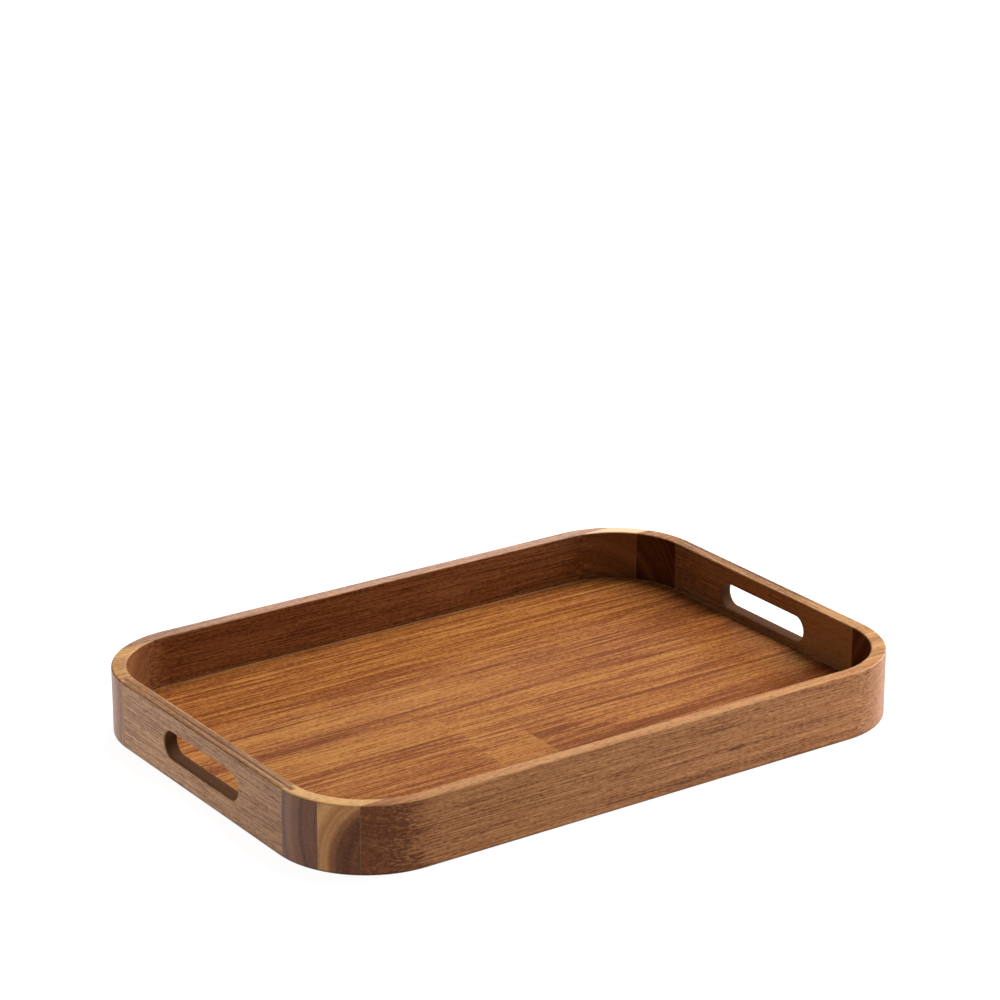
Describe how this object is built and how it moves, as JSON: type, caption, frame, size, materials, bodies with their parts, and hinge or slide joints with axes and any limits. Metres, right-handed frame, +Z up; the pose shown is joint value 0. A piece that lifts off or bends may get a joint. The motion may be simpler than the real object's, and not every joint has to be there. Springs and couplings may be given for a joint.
{
  "type": "serving tray",
  "caption": "Rectangular oiled-wood serving tray with rounded corners, a glued-up rim with a hand slot in each end, and a staved floor.",
  "frame": {"origin": "centre of the footprint, on the plane the tray stands on", "axes": "+X along the long side, towards the right hand slot; +Y across the tray, towards the back rail; +Z up"},
  "size_m": [0.5, 0.35, 0.05],
  "materials": {
    "rail_wood": "oiled satin, medium reddish brown, straight grain with short dark pores",
    "end_rail_wood": "oiled satin, medium brown, straight grain",
    "pale_block_wood": "oiled satin, pale tan with a darker heartwood band",
    "dark_block_wood": "oiled satin, dark chocolate brown",
    "floor_wood": "oiled satin, warm orange brown, streaked lengthways"
  },
  "bodies": {
    "root": {"front_rail": "rail_wood", "back_rail": "rail_wood", "left_end_rail": "end_rail_wood", "right_end_rail": "end_rail_wood", "front_left_outer_block": "pale_block_wood", "front_right_outer_block": "pale_block_wood", "back_left_outer_block": "pale_block_wood", "back_right_outer_block": "pale_block_wood", "front_left_inner_block": "dark_block_wood", "front_right_inner_block": "dark_block_wood", "back_left_inner_block": "dark_block_wood", "back_right_inner_block": "dark_block_wood", "floor_board_1": "floor_wood", "floor_board_2_left": "floor_wood", "floor_board_2_filler": "floor_wood", "floor_board_2_right": "floor_wood", "floor_board_3_left": "floor_wood", "floor_board_3_right": "floor_wood", "floor_board_4": "floor_wood", "floor_board_5": "floor_wood", "floor_board_6": "floor_wood"}
  },
  "joints": []
}
